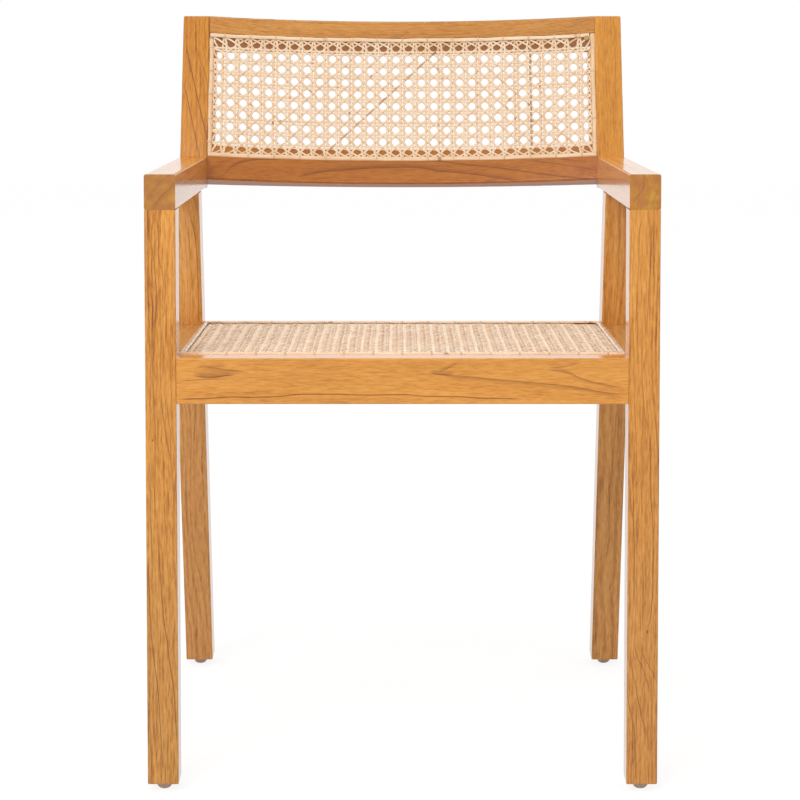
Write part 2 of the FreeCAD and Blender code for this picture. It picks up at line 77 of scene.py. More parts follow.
# Strands of cane. The loose lifts are the diagonals' heights near their holes, by slope.
STRAND_WIDTH = 2.75 * MM
DIAGONAL_WIDTH = 2.4 * MM
STRAND_THICKNESS = 0.75 * MM
COLUMN_PAIR_HALF = 2.15 * MM
ROW_PAIR_HALF = 1.85 * MM
BINDER_WIDTH = 5.4 * MM
TIE_WIDTH = 2.0 * MM
TIE_THICKNESS = 0.6 * MM
SEAT_OPENING_HALF = 232 * MM
BACK_OPENING_HALF = 237 * MM
SEAT_HOLE_INSET = 14 * MM
BACK_HOLE_INSET = 13 * MM
WOOD_CLEARANCE = -0.2 * MM
STEPS_PER_PITCH = 6
STRAND_LIFT = 0.45 * MM
DIAGONAL_LIFT = 0.95 * MM
LOOSE_LIFTS = {-1: 0.6 * MM, 1: -0.2 * MM}
FLAT_HALF = 2.6 * MM
FLAT_SHARE = 0.4
END_RUN = 3 * MM
END_SPREAD = 7 * MM
HOLE_OFFSET = 0.6 * MM
# A strand's way out of a hole: distance from it, and height over the cane's middle
HOLE_DIVE = ((-0.3 * MM, -5 * MM), (0.1 * MM, -1.6 * MM), (1.0 * MM, -0.25 * MM), (2.2 * MM, 0.1 * MM))
BINDER_OUT = 3.6 * MM
BINDER_SHIFT = 1.4 * MM
SEAT_BINDER_HEIGHT = 2.2 * MM
BACK_BINDER_HEIGHT = 1.45 * MM
SEAT_STRIP_THICKNESS = 2.4 * MM
BACK_ROWS_DROP = 1.6 * MM
CORNER_PEG = (236 * MM, -2.6 * MM)
CORNER_PEG_RADIUS = 3.4 * MM
TOP_STRIP_END = 239.5 * MM
PEG_HEIGHT = 2.3 * MM
PEG_DOME = 0.8 * MM
PEG_DEPTH = 3 * MM
PEG_TILT = 1.35
PEG_RINGS = 6
PEG_SIDES = 24
# The tie's arch over a binder: the place across it as a share of its width, and the height
TIE_ARCH = (
    (-0.56, -1.5 * MM), (-0.56, -0.2 * MM), (-0.46, 0.55 * MM), (-0.2, 0.92 * MM),
    (0.2, 0.92 * MM), (0.46, 0.55 * MM), (0.56, -0.2 * MM), (0.56, -1.5 * MM),
)
# A stitch's way out of a hole: distance along it, and height over the hidden face
STITCH_DIVE = ((-0.3 * MM, 4 * MM), (0.1 * MM, 0.9 * MM), (1.2 * MM, -0.45 * MM), (2.8 * MM, -0.5 * MM))
# A strand's section: places across it and out of it, as shares of its width and its thickness
STRAND_SECTION_SHARES = ((-0.5, -0.25), (-0.4, 0.2), (-0.16, 0.5), (0.16, 0.5), (0.4, 0.2), (0.5, -0.25))
SHARP_ANGLE = math.radians(50)

# The strands cut from darker cane, by panel: columns by number and hand, diagonals by number and slope
DARK_COLUMNS = (("back", 10, 1),)
DARK_DIAGONALS = (("back", 1, 1),)

# Hand work's unevenness: spreads of widths and places, and waves. A wave's rate is in radians per metre,
# or per point of a strand where it twists.
PAIR_SPREAD = 0.16 * MM
DIAGONAL_SPREAD = 0.2 * MM
TIE_SPREAD = 0.7 * MM
STITCH_SPREAD = 0.5 * MM
TWIST = 0.09
TWIST_RATES = (1.3, 0.47)
# A binder's waves, in and out and up: size and rate
BINDER_DRIFT = (0.22 * MM, 61)
BINDER_RIPPLE = (0.12 * MM, 173)
BINDER_RISE = (0.1 * MM, 97)
# The weave's slow drift, across and up: waves of a size in millimetres, rates along u and v, and a start
DRIFTS = (
    ((0.2, 23, 31, 0.6), (0.12, -37, 71, 2.1)),
    ((0.2, 29, -19, 1.3), (0.12, 83, 41, 4.0)),
)


# Places on the two panels: u runs across, v up the panel from its middle, w square to it, out of the
# cane's middle plane towards the sitter
class Panel:
    def __init__(self, **values):
        for key, value in values.items():
            setattr(self, key, value)

    def axes(self, u, v):
        # The surface's own directions at a place: across, up and out
        step = 0.5 * MM
        across = self.place(u + step, v, 0) - self.place(u - step, v, 0)
        up = self.place(u, v + step, 0) - self.place(u, v - step, 0)
        across.normalize()
        up.normalize()
        return across, up, across.cross(up).normalized()

    def strip_axes(self, u, v, run):
        # The way across a strip that runs along the surface as given, and the way out
        across, up, out = self.axes(u, v)
        return (across * run[1] - up * run[0]).normalized(), out


def middle_of(node):
    low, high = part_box(node)
    return (low + high) / 2


seat_front = middle_of("seat_binder_front")
seat_back = middle_of("seat_binder_back")
seat_up = (seat_back - seat_front).normalized()
seat_out = Vector((1, 0, 0)).cross(seat_up)
seat_middle = (seat_front + seat_back) / 2 - seat_out * (CANE_DEPTH - BINDER_THICKNESS / 2)


def seat_place(u, v, w):
    return seat_middle + Vector((u, 0, 0)) + seat_up * v + seat_out * w


def bow_depth(u):
    radius = (INNER_HALF ** 2 + BACK_BOW ** 2) / (2 * BACK_BOW)
    return math.sqrt(radius ** 2 - u ** 2) - (radius - BACK_BOW)


def back_place(u, v, w):
    depth = bow_depth(u) + CANE_DEPTH - w
    up = (BACK_HOLES[0] + BACK_HOLES[1]) / 2 + v
    y = depth * math.cos(POST_RAKE) + up * math.sin(POST_RAKE)
    z = up * math.cos(POST_RAKE) - depth * math.sin(POST_RAKE)
    return BACK_FOOT + Vector((u, y, z))


def seat_lip(u, v):
    return SEAT_LIP_THICKNESS


def back_lip(u, v):
    # Wood from the cane's front to the back face: the rails thin towards their middle, the posts' lips don't
    if abs(u) > INNER_HALF - 2 * HOLE_RADIUS - HALF_PITCH:
        return POST_LIP_THICKNESS
    back_bow = BACK_BOW - RAIL_END_THICKNESS + RAIL_MIDDLE_THICKNESS
    radius = (INNER_HALF ** 2 + back_bow ** 2) / (2 * back_bow)
    back = RAIL_END_THICKNESS + math.sqrt(radius ** 2 - u ** 2) - (radius - back_bow)
    return back - bow_depth(u)


SEAT = Panel(
    name="seat", place=seat_place, lip=seat_lip, half_v=(seat_back - seat_front).length / 2,
    row_steps=SEAT_ROW_STEPS, opening_half=SEAT_OPENING_HALF, hole_inset=SEAT_HOLE_INSET, drop=0,
    strip_height=SEAT_BINDER_HEIGHT, strip_thickness=SEAT_STRIP_THICKNESS,
)
BACK = Panel(
    name="back", place=back_place, lip=back_lip, half_v=(BACK_HOLES[1] - BACK_HOLES[0]) / 2,
    row_steps=BACK_ROW_STEPS, opening_half=BACK_OPENING_HALF, hole_inset=BACK_HOLE_INSET, drop=BACK_ROWS_DROP,
    strip_height=BACK_BINDER_HEIGHT, strip_thickness=BINDER_THICKNESS,
)


def link(name, data):
    thing = bpy.data.objects.new(name, data)
    bpy.context.scene.collection.objects.link(thing)
    return thing


def make_piece(name, points, faces, material, *nodes):
    # A smooth piece with sharp edges. It stands for the nodes named, if any.
    mesh = bpy.data.meshes.new(name)
    mesh.from_pydata([tuple(point) for point in points], [], faces)
    mesh.validate()
    mesh.shade_smooth()
    mesh.set_sharp_from_angle(angle=SHARP_ANGLE)
    mesh.materials.append(material)
    piece = link(name, mesh)
    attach(piece, "root")
    if nodes:
        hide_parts(*nodes)
    return mesh


# Meshes of cane. Each strand is an island with its own number, and knows its length and width.
class Strands:
    def __init__(self, name, seed):
        self.name = name
        self.random = random.Random(seed)
        self.points = []
        self.faces = []
        self.marks = []

    def add(self, places, sides, width, thickness, dark=False):
        # One strip through the places, with its flat side along the given side directions. The numbers of
        # the few dark strands lie above 1.
        start = len(self.points)
        count = len(STRAND_SECTION_SHARES)
        number = self.random.random() + (1 if dark else 0)
        along = 0
        for index, (place, side) in enumerate(zip(places, sides)):
            before = places[max(index - 1, 0)]
            after = places[min(index + 1, len(places) - 1)]
            out = side.cross((after - before).normalized()).normalized()
            if index:
                along += (place - before).length
            for share_x, share_y in STRAND_SECTION_SHARES:
                self.points.append(place + side * (share_x * width) + out * (share_y * thickness))
                self.marks.append((share_x, along, number))
        for ring in range(len(places) - 1):
            base = start + ring * count
            for k in range(count):
                nxt = (k + 1) % count
                self.faces.append((base + k, base + nxt, base + count + nxt, base + count + k))
        last = start + (len(places) - 1) * count
        self.faces.append(tuple(start + k for k in reversed(range(count))))
        self.faces.append(tuple(last + k for k in range(count)))

    def build(self, material, *nodes):
        mesh = make_piece(self.name, self.points, self.faces, material, *nodes)
        attribute = mesh.attributes.new("strand", "FLOAT_VECTOR", "POINT")
        attribute.data.foreach_set("vector", np.array(self.marks, np.float32).ravel())


def steps_of(most):
    return range(-most, most + 1)


def through(stations):
    # Places along a strand between stations of (distance, height), with smooth ups and downs
    found = []
    for (s0, w0), (s1, w1) in zip(stations, stations[1:]):
        parts = max(1, round((s1 - s0) / (CANE_PITCH / STEPS_PER_PITCH)))
        for part in range(parts):
            share = part / parts
            eased = share * share * (3 - 2 * share)
            found.append((s0 + (s1 - s0) * share, w0 + (w1 - w0) * eased))
    found.append(stations[-1])
    return found


def seeded(seed, spread):
    # A source of small uneven offsets
    source = random.Random(seed)
    return lambda: source.uniform(-spread, spread)


def wave(along, size, rate, start):
    return size * math.sin(along * rate + start)


def sway(u, v):
    # The weave's slow drift out of true, as hand work leaves it
    return [
        sum(size * math.sin(rate_u * u + rate_v * v + start) for size, rate_u, rate_v, start in waves) * MM
        for waves in DRIFTS
    ]


class Weave:
    # Six-way cane on one panel: pairs of columns and rows, and two sets of diagonals
    def __init__(self, panel):
        self.panel = panel
        self.columns = steps_of(COLUMN_STEPS)
        self.rows = steps_of(panel.row_steps)

    def settle(self, u, v, w):
        # Over the frame's wood the strands lie on it
        on_wood = abs(u) > self.panel.opening_half or abs(v) > self.panel.half_v - self.panel.hole_inset
        return max(w, WOOD_CLEARANCE) if on_wood else w

    def lay(self, strands, holes, inner, offset, width, dark=False):
        # A strand out of one hole, across the panel and down into another, with small twists
        twist = strands.random.uniform(0, math.tau)
        ends = []
        for hole, (near, _) in zip(holes, (inner[0], inner[-1])):
            toward = Vector((near[0] - hole[0], near[1] - hole[1])).normalized()
            ends.append([
                (hole[0] + toward.x * step + offset[0], hole[1] + toward.y * step + offset[1], w)
                for step, w in HOLE_DIVE
            ])
        points = ends[0]
        for (u, v), w in inner:
            du, dv = sway(u, v)
            points.append((u + du, v + dv, self.settle(u, v, w)))
        points += reversed(ends[1])
        places = []
        sides = []
        for index, (u, v, w) in enumerate(points):
            before = points[max(index - 1, 0)]
            after = points[min(index + 1, len(points) - 1)]
            run = Vector((after[0] - before[0], after[1] - before[1])).normalized()
            places.append(self.panel.place(u, v, w))
            turns = (index * TWIST_RATES[0] + twist, index * TWIST_RATES[1] + 3 * twist)
            tilt = TWIST * (math.sin(turns[0]) + math.sin(turns[1]))
            side, out = self.panel.strip_axes(u, v, run)
            sides.append((side + out * tilt).normalized())
        strands.add(places, sides, width, STRAND_THICKNESS, dark)

    def weave(self, reach, others, pair_half, lift, drop=0):
        # Places along a strand that goes over one strand of each crossing pair and under the other
        stations = [(-reach, 0)]
        for other in others:
            stations += [(other * CANE_PITCH + hand * pair_half - drop, lift * hand) for hand in (-1, 1)]
        return through(stations + [(reach, 0)])

    def add_columns(self, strands):
        jitter = seeded(11, PAIR_SPREAD)
        reach = self.panel.half_v - END_RUN
        for column in self.columns:
            for hand in (-1, 1):
                half = COLUMN_PAIR_HALF + jitter()
                u0 = column * CANE_PITCH
                inner = []
                for v, w in self.weave(reach, self.rows, ROW_PAIR_HALF, STRAND_LIFT * hand, self.panel.drop):
                    spread = min(1.0, (self.panel.half_v - abs(v)) / END_SPREAD)
                    inner.append(((u0 + hand * half * spread, v), w))
                holes = [(u0, end * self.panel.half_v) for end in (-1, 1)]
                dark = (self.panel.name, column, hand) in DARK_COLUMNS
                self.lay(strands, holes, inner, (hand * HOLE_OFFSET, 0), STRAND_WIDTH + jitter(), dark)

    def add_rows(self, strands):
        jitter = seeded(12, PAIR_SPREAD)
        reach = SIDE_HOLES - END_RUN
        for row in self.rows:
            for hand in (-1, 1):
                half = ROW_PAIR_HALF + jitter()
                v0 = row * CANE_PITCH
                inner = []
                for u, w in self.weave(reach, self.columns, COLUMN_PAIR_HALF, -STRAND_LIFT * hand):
                    spread = min(1.0, (SIDE_HOLES - abs(u)) / END_SPREAD)
                    inner.append(((u, v0 + (hand * half - self.panel.drop) * spread), w))
                holes = [(side * SIDE_HOLES, v0) for side in (-1, 1)]
                self.lay(strands, holes, inner, (0, hand * HOLE_OFFSET), STRAND_WIDTH + jitter())

    def hole(self, a, b):
        # The hole at a place counted in half pitches, or the corner's beyond the last ones
        u = a * HALF_PITCH if abs(a) <= 2 * COLUMN_STEPS else math.copysign(SIDE_HOLES, a)
        v = b * HALF_PITCH if abs(b) <= 2 * self.panel.row_steps else math.copysign(self.panel.half_v, b)
        return (u, v)

    def diagonal_lift(self, a, slope):
        # With slope -1 they pass over the columns and under the rows, and with slope 1 the other way
        return DIAGONAL_LIFT if (a % 2 == 0) == (slope < 0) else -DIAGONAL_LIFT

    def bend(self, u, v, hole, lifts):
        # From its last knot to its hole a diagonal turns more and more along the edge
        run_u, run_v = hole[0] - u, hole[1] - v
        far, near = max(abs(run_u), abs(run_v)), min(abs(run_u), abs(run_v))
        found = []
        for share, lift in zip((1 / 3, 2 / 3), lifts):
            along = far * share
            inward = along - (far - near) * share * share
            du, dv = (along, inward) if abs(run_u) > abs(run_v) else (inward, along)
            found.append((u + math.copysign(du, run_u), v + math.copysign(dv, run_v), lift))
        return found

    def add_diagonals(self, strands, slope):
        # Knots are the crossings with columns and rows, counted in half pitches. Past its last one, a
        # diagonal runs on over one more column or row, crosses its like, and ends in the hole after that.
        jitter = seeded(13 + slope, DIAGONAL_SPREAD)
        for n in steps_of(COLUMN_STEPS + self.panel.row_steps):
            knots = [(a, 2 * n + 1 + slope * a) for a in steps_of(2 * COLUMN_STEPS)]
            knots = [(a, b) for a, b in knots if abs(b) <= 2 * self.panel.row_steps]
            if not knots:
                continue
            shift = jitter() - self.panel.drop
            path = [(a * HALF_PITCH, b * HALF_PITCH + shift, self.diagonal_lift(a, slope)) for a, b in knots]
            holes = []
            for (a, b), (u, v, _), way in ((knots[0], path[0], -1), (knots[-1], path[-1], 1)):
                hole = self.hole(a + 3 * way, b + 3 * way * slope)
                turned = self.bend(u, v, hole, (self.diagonal_lift(a + 1, slope), LOOSE_LIFTS[slope]))
                path = turned[::-1] + path if way < 0 else path + turned
                holes.append(hole)
            dark = (self.panel.name, n, slope) in DARK_DIAGONALS
            self.lay(strands, holes, self.flats(path), (0, 0), DIAGONAL_WIDTH + jitter(), dark)

    def flats(self, path):
        # Spreads each knot of (u, v, height) to a short level run, and fills in the ramps between them
        found = []
        for (u0, v0, w0), (u1, v1, w1) in zip(path, path[1:]):
            run = Vector((u1 - u0, v1 - v0))
            length = run.length
            run.normalize()
            flat = min(FLAT_HALF, FLAT_SHARE * length)
            stations = [(0, w0), (flat, w0), (length - flat, w1)]
            for s, w in through(stations):
                found.append(((u0 + run.x * s, v0 + run.y * s), w))
        found.append((path[-1][:2], path[-1][2]))
        return found


def edge_lines(panel):
    # The four hole lines: name, start, end, and the way out of the panel. The long strips reach over the
    # side ones, but for the back's top one, which stops at the corner peg on the right.
    long_u = SIDE_HOLES + BINDER_OUT
    short_v = panel.half_v - BINDER_WIDTH / 2 + BINDER_SHIFT
    low, top, top_u, right_v = "front", "back", long_u, short_v
    if panel.name == "back":
        low, top, top_u, right_v = "lower", "top", TOP_STRIP_END, panel.half_v + BINDER_OUT
    return [
        (low, (-long_u, -panel.half_v), (long_u, -panel.half_v), (0, -1)),
        (top, (-long_u, panel.half_v), (top_u, panel.half_v), (0, 1)),
        ("left", (-SIDE_HOLES, -short_v), (-SIDE_HOLES, short_v), (-1, 0)),
        ("right", (SIDE_HOLES, -short_v), (SIDE_HOLES, right_v), (1, 0)),
    ]


def binder(panel, side, start, end, out_way, material):
    # The flat strip over the holes, pulled a little in and out by its ties
    strands = Strands(panel.name + "_binder_strip_" + side, len(side))
    run = Vector((end[0] - start[0], end[1] - start[1]))
    steps = 3 * round(run.length / HALF_PITCH)
    places = []
    sides = []
    for step in range(steps + 1):
        share = step / steps
        along = share * run.length
        shift = BINDER_SHIFT + wave(along, *BINDER_DRIFT, len(side)) + wave(along, *BINDER_RIPPLE, 0)
        rise = panel.strip_height + wave(along, *BINDER_RISE, 1)
        u = start[0] + run.x * share + out_way[0] * shift
        v = start[1] + run.y * share + out_way[1] * shift
        places.append(panel.place(u, v, rise))
        sides.append(panel.strip_axes(u, v, run)[0])
    strands.add(places, sides, BINDER_WIDTH, panel.strip_thickness)
    strands.build(material, panel.name + "_binder_" + side)


def edge_holes(panel, out_way):
    # The holes along the edge on one side, corners left out
    if out_way[0]:
        return [(out_way[0] * SIDE_HOLES, row * CANE_PITCH) for row in steps_of(panel.row_steps)]
    return [(column * CANE_PITCH, out_way[1] * panel.half_v) for column in steps_of(COLUMN_STEPS)]


def ties(panel, material):
    # Thin loops over the binder, down through every second hole
    strands = Strands(panel.name + "_ties", 7)
    jitter = seeded(19, TIE_SPREAD)
    height = panel.strip_height + (panel.strip_thickness - BINDER_THICKNESS) / 2
    for *_, out_way in edge_lines(panel):
        along = (abs(out_way[1]), abs(out_way[0]))
        for u, v in edge_holes(panel, out_way)[::2]:
            lean = jitter()
            places = []
            sides = []
            for reach, w in TIE_ARCH:
                shift = BINDER_SHIFT + reach * BINDER_WIDTH
                slide = lean * reach
                tie_u = u + out_way[0] * shift + along[0] * slide
                tie_v = v + out_way[1] * shift + along[1] * slide
                places.append(panel.place(tie_u, tie_v, height + w))
                sides.append(panel.strip_axes(tie_u, tie_v, out_way)[0])
            strands.add(places, sides, TIE_WIDTH, TIE_THICKNESS)
    strands.build(material)


def stitches(panel, material):
    # Short runs of strand from hole to hole on the frame's hidden face
    strands = Strands(panel.name + "_stitches", 23)
    jitter = seeded(29, STITCH_SPREAD)
    for *_, out_way in edge_lines(panel):
        holes = edge_holes(panel, out_way)
        for (u0, v0), (u1, v1) in zip(holes, holes[1:]):
            run = Vector((u1 - u0, v1 - v0)).normalized()
            places = []
            sides = []
            shift = jitter()
            for u, v, way in ((u0, v0, 1), (u1, v1, -1)):
                for reach, w in STITCH_DIVE[::way]:
                    su = u + run.x * way * reach + out_way[0] * shift
                    sv = v + run.y * way * reach + out_way[1] * shift
                    back = CANE_DEPTH - panel.lip(su, sv)
                    places.append(panel.place(su, sv, back + w))
                    sides.append(-panel.strip_axes(su, sv, run)[0])
            strands.add(places, sides, STRAND_WIDTH, STRAND_THICKNESS)
    strands.build(material)


def corner_peg(panel, material):
    # The domed head of the wooden peg beside the top binder's end: rings from its foot to its top
    u0, v0 = CORNER_PEG[0], panel.half_v + CORNER_PEG[1]
    across, up, out = panel.axes(u0, v0)
    middle = panel.place(u0, v0, PEG_HEIGHT)
    outline = [(CORNER_PEG_RADIUS, -PEG_DEPTH)]
    for ring in range(PEG_RINGS):
        tilt = PEG_TILT * ring / (PEG_RINGS - 1)
        outline.append((CORNER_PEG_RADIUS * math.cos(tilt), PEG_DOME * math.sin(tilt)))
    points = []
    faces = []
    for ring, (radius, rise) in enumerate(outline):
        base = ring * PEG_SIDES
        for step in range(PEG_SIDES):
            turn = math.tau * step / PEG_SIDES
            points.append(middle + (across * math.cos(turn) + up * math.sin(turn)) * radius + out * rise)
            nxt = (step + 1) % PEG_SIDES
            if ring:
                faces.append((base - PEG_SIDES + step, base - PEG_SIDES + nxt, base + nxt, base + step))
    faces.append(tuple(reversed(range(PEG_SIDES))))
    faces.append(tuple(range(base, base + PEG_SIDES)))
    make_piece("back_corner_peg", points, faces, material)


# Materials
class Shader:
    # The nodes of a material or of the world. Inputs are given by name or number, as numbers, colours or
    # other nodes' outputs.
    def __init__(self, owner):
        owner.use_nodes = True
        self.owner = owner
        self.tree = owner.node_tree
        self.tree.nodes.clear()

    def add(self, kind, inputs=None, **settings):
        node = self.tree.nodes.new("ShaderNode" + kind)
        for key, value in settings.items():
            setattr(node, key, value)
        for key, value in (inputs or {}).items():
            self.feed(node.inputs[key], value)
        return node

    def feed(self, socket, value):
        if isinstance(value, bpy.types.NodeSocket):
            self.tree.links.new(value, socket)
        elif socket.type == "RGBA":
            socket.default_value = (*value, 1)
        else:
            socket.default_value = value

    def math(self, operation, *values, clamp=False):
        return self.add("Math", dict(enumerate(values)), operation=operation, use_clamp=clamp).outputs[0]

    def vector(self, operation, *values, output="Vector"):
        return self.add("VectorMath", dict(enumerate(values)), operation=operation).outputs[output]

    def times(self, value, size, base=0, clamp=False):
        # A value made so many times as large and added to the base
        return self.math("MULTIPLY_ADD", value, size, base, clamp=clamp)

    def about(self, value, size, base=0):
        # The same with the swings of a noise about its middle
        return self.times(self.math("SUBTRACT", value, 0.5), size, base)

    def noise(self, vector, scale=1, detail=2, roughness=0.5):
        inputs = {"Vector": vector, "Scale": scale, "Detail": detail, "Roughness": roughness}
        return self.add("TexNoise", inputs).outputs["Fac"]

    def fibres(self, vector, across, along, detail=2, roughness=0.5):
        # Noise with its changes per metre across the fibres and along them, which is along Z
        return self.noise(self.vector("MULTIPLY", vector, (across, across, along)), 1, detail, roughness)

    def random_of(self, number):
        return self.add("TexWhiteNoise", {"W": number}, noise_dimensions="1D").outputs["Value"]

    def remap(self, value, low, high, to_low=0, to_high=1, smooth=False):
        inputs = {"Value": value, "From Min": low, "From Max": high, "To Min": to_low, "To Max": to_high}
        kind = "SMOOTHSTEP" if smooth else "LINEAR"
        return self.add("MapRange", inputs, interpolation_type=kind).outputs["Result"]

    def ramp(self, value, *stops):
        node = self.add("ValToRGB", {"Fac": value})
        elements = node.color_ramp.elements
        while len(elements) < len(stops):
            elements.new(0.5)
        for element, (place, colour) in zip(elements, stops):
            element.position = place
            element.color = (*colour, 1)
        return node.outputs["Color"]

    def mix(self, share, first, second):
        return self.add("Mix", {0: share, 6: first, 7: second}, data_type="RGBA").outputs[2]

    def curve(self, value, places):
        # The second number of the places at the value given in their first, along a smooth line
        run = [place[0] for place in places]
        across = [place[1] for place in places]
        low, high = min(across), max(across)
        node = self.add("FloatCurve", {"Value": self.remap(value, run[0], run[-1])})
        line = node.mapping.curves[0]
        spots = [((s - run[0]) / (run[-1] - run[0]), (t - low) / (high - low)) for s, t in places]
        line.points[0].location = spots[0]
        line.points[1].location = spots[-1]
        for spot in spots[1:-1]:
            line.points.new(*spot)
        node.mapping.update()
        return self.remap(node.outputs["Value"], 0, 1, low, high)

    def bump(self, height, distance, strength):
        inputs = {"Height": height, "Distance": distance, "Strength": strength}
        return self.add("Bump", inputs).outputs["Normal"]

    def finish(self, **inputs):
        named = {key.replace("_", " "): value for key, value in inputs.items()}
        shader = self.add("BsdfPrincipled", named)
        self.add("OutputMaterial", {"Surface": shader.outputs[0]})
        return self.owner

    def plain(self, tone, stops, rough, height, distance, **inputs):
        # Two colours and a roughness that follow one noise, over a fine relief
        rough = self.remap(tone, 0.3, 0.7, *rough)
        relief = self.bump(height, distance, 0.5)
        return self.finish(Base_Color=self.ramp(tone, *stops), Roughness=rough, Normal=relief, **inputs)


def material_nodes(name):
    return Shader(bpy.data.materials.new(name))


def linear(red, green, blue):
    # A colour as seen on a screen, 0 to 255, as the linear colour that a shader takes
    return tuple(Color((red / 255, green / 255, blue / 255)).from_srgb_to_scene_linear())


# The ways that the members' fibres run
UP_FRONT = (0, 0.095, 1)
UP_REAR = (0, -0.228, 1)
UP_POST = (0, math.sin(POST_RAKE), math.cos(POST_RAKE))
ALONG_ARM = (0, 1, -0.03)
ALONG_SIDE = (0, 1, -0.038)
ACROSS = (1, 0, 0)


class Grain:
    # How one wooden member was cut from its log: the direction of its fibres, where the log's pith lies
    # beside it in millimetres, its tint and a number of its own. On the seat's side rails the tint also
    # paints a sheen. What it doesn't give is as here.
    # Between two rings, and how far they wander
    spacing = 3.4 * MM
    wander = 28 * MM
    # The strength of its rings and of its dark fibres
    rings = 0.3
    streaks = 0.6
    # Its large growth lines: strength, reach of the shade beside it (negative to the lower side), and
    # places, first along the one axis, then along the other, all in millimetres
    figures = ()
    run = "Z"
    across = "X"
    # The two heights up the back between which a rail's recessed lip is darkened by painted shade from the
    # cane
    shaded_lip = ()
    # A leg's further tint near the floor
    foot = ()

    def __init__(self, axis, pith, tint, seed, **own):
        self.axis = Vector(axis).normalized()
        self.pith = pith
        self.tint = tint
        self.seed = seed
        for key, value in own.items():
            setattr(self, key, value)


TEAK_PALE = linear(238, 172, 88)
TEAK_MIDDLE = linear(222, 150, 66)
TEAK_DEEP = linear(188, 118, 46)
TEAK_STREAK = linear(134, 78, 30)
TEAK_LINE = linear(126, 70, 28)
TEAK_END = linear(190, 128, 56)
TEAK_END_RED = linear(182, 116, 62)
TEAK_END_PALE = linear(204, 148, 58)
# The colour of painted shade on a rail's recessed lip, under the cane's edge
TEAK_PAINTED_SHADE = linear(168, 104, 48)
# The heights between which a leg's tint near the floor fades out
FOOT_HEIGHTS = (160 * MM, 460 * MM)

# A growth line's dark core, the shade that starts beside it, and its fading ends
LINE_CORE = 0.25 * MM
LINE_EDGE = 0.95 * MM
LINE_SHADE = 0.6
LINE_LEAST_REACH = 0.5 * MM
LINE_START = (-0.5 * MM, 0.2 * MM)
LINE_TAIL_SHARE = 0.2
LINE_TAIL = 12 * MM
# How far the wood's ripples and fibres move it
LINE_RIPPLE = 2.2 * MM
LINE_FIBRE = 1.2 * MM
# How softly the painted shade on a recessed lip sets in at its two heights
PAINTED_SHADE_EDGE = 0.5 * MM


def figure_share(shade, parts, wobble, grain):
    # How much of the dark growth lines' colour shows at a place
    total = 0.0
    for strength, reach, places in grain.figures:
        places = sorted((s * MM, t * MM) for s, t in places)
        along = parts[grain.run]
        off = shade.math("SUBTRACT", parts[grain.across], shade.curve(along, places))
        off = shade.math("ADD", off, wobble)
        core = shade.remap(shade.math("ABSOLUTE", off), LINE_CORE, LINE_EDGE, 1, 0, smooth=True)
        side = shade.times(off, 1 if reach > 0 else -1)
        fade = shade.remap(side, 0, max(abs(reach) * MM, LINE_LEAST_REACH), LINE_SHADE, 0, smooth=True)
        beside = shade.times(fade, shade.remap(side, *LINE_START))
        shown = shade.math("MAXIMUM", core, beside)
        low, high = places[0][0], places[-1][0]
        tail = min(LINE_TAIL_SHARE * (high - low), LINE_TAIL)
        for end in (shade.remap(along, low, low + tail), shade.remap(along, high - tail, high, 1, 0)):
            shown = shade.times(shown, end)
        total = shade.math("MAXIMUM", total, shade.times(shown, strength))
    return total


def painted_shade_share(shade, position, heights):
    # Painted shade's share: 1 between two heights up the raked back, from its foot, and 0 beyond them
    up = shade.vector("DOT_PRODUCT", position, UP_POST, output="Value")
    up = shade.math("SUBTRACT", up, BACK_FOOT.dot(Vector(UP_POST)))
    low, high = heights
    shown = shade.remap(up, low - PAINTED_SHADE_EDGE, low + PAINTED_SHADE_EDGE)
    return shade.times(shown, shade.remap(up, high - PAINTED_SHADE_EDGE, high + PAINTED_SHADE_EDGE, 1, 0))


# The wood's noises: changes per metre across its fibres and along them, then any detail and roughness
BEND_NOISE = (14, 5)
WANDER_NOISE = (9, 2.6)
RIPPLE_NOISE = (40, 9)
BROAD_NOISE = (75, 3, 2, 0.55)
MEDIUM_NOISE = (330, 13, 3, 0.6)
FINE_NOISE = (720, 70, 3, 0.65)
PORE_NOISE = (2400, 110, 1)
DRIFT_NOISE = (16, 3)
BEND = 6 * MM
RIPPLE = 2.4 * MM
# Each ring's darker late wood: where it starts and is full, and where the next ring starts
LATE = (0.3, 0.93)
RING_END = (0.94, 1.0)
FAINTEST_RING = 0.3
# How uneven the rings' spacing is, in rings, and how often that changes from ring to ring
UNEVEN = 1.6
UNEVEN_RATE = 0.45
# How deep the wood's colour is by itself, from 0 to 1, and how much its parts add
DEPTH = 0.3
DEPTH_BROAD = 0.55
DEPTH_DARK = 0.3
DEPTH_FINE = 0.9
DEPTH_STREAKS = 0.6
DEPTH_PORES = 0.22


def log_place(shade, position, centre, grain):
    # Places in the log that the member was cut from, which stands upright around its pith
    turn = grain.axis.rotation_difference(Vector((0, 0, 1)))
    offset = -(turn @ centre)
    shift = (offset.x - grain.pith[0] * MM, offset.y - grain.pith[1] * MM, offset.z + grain.seed)
    mapping = {"Vector": position, "Location": shift, "Rotation": turn.to_euler()}
    wood = shade.add("Mapping", mapping).outputs[0]
    # The fibres bend a little, together
    bend = shade.about(shade.fibres(wood, *BEND_NOISE), BEND)
    return shade.vector("ADD", wood, shade.add("CombineXYZ", {"X": bend, "Y": bend}).outputs[0])


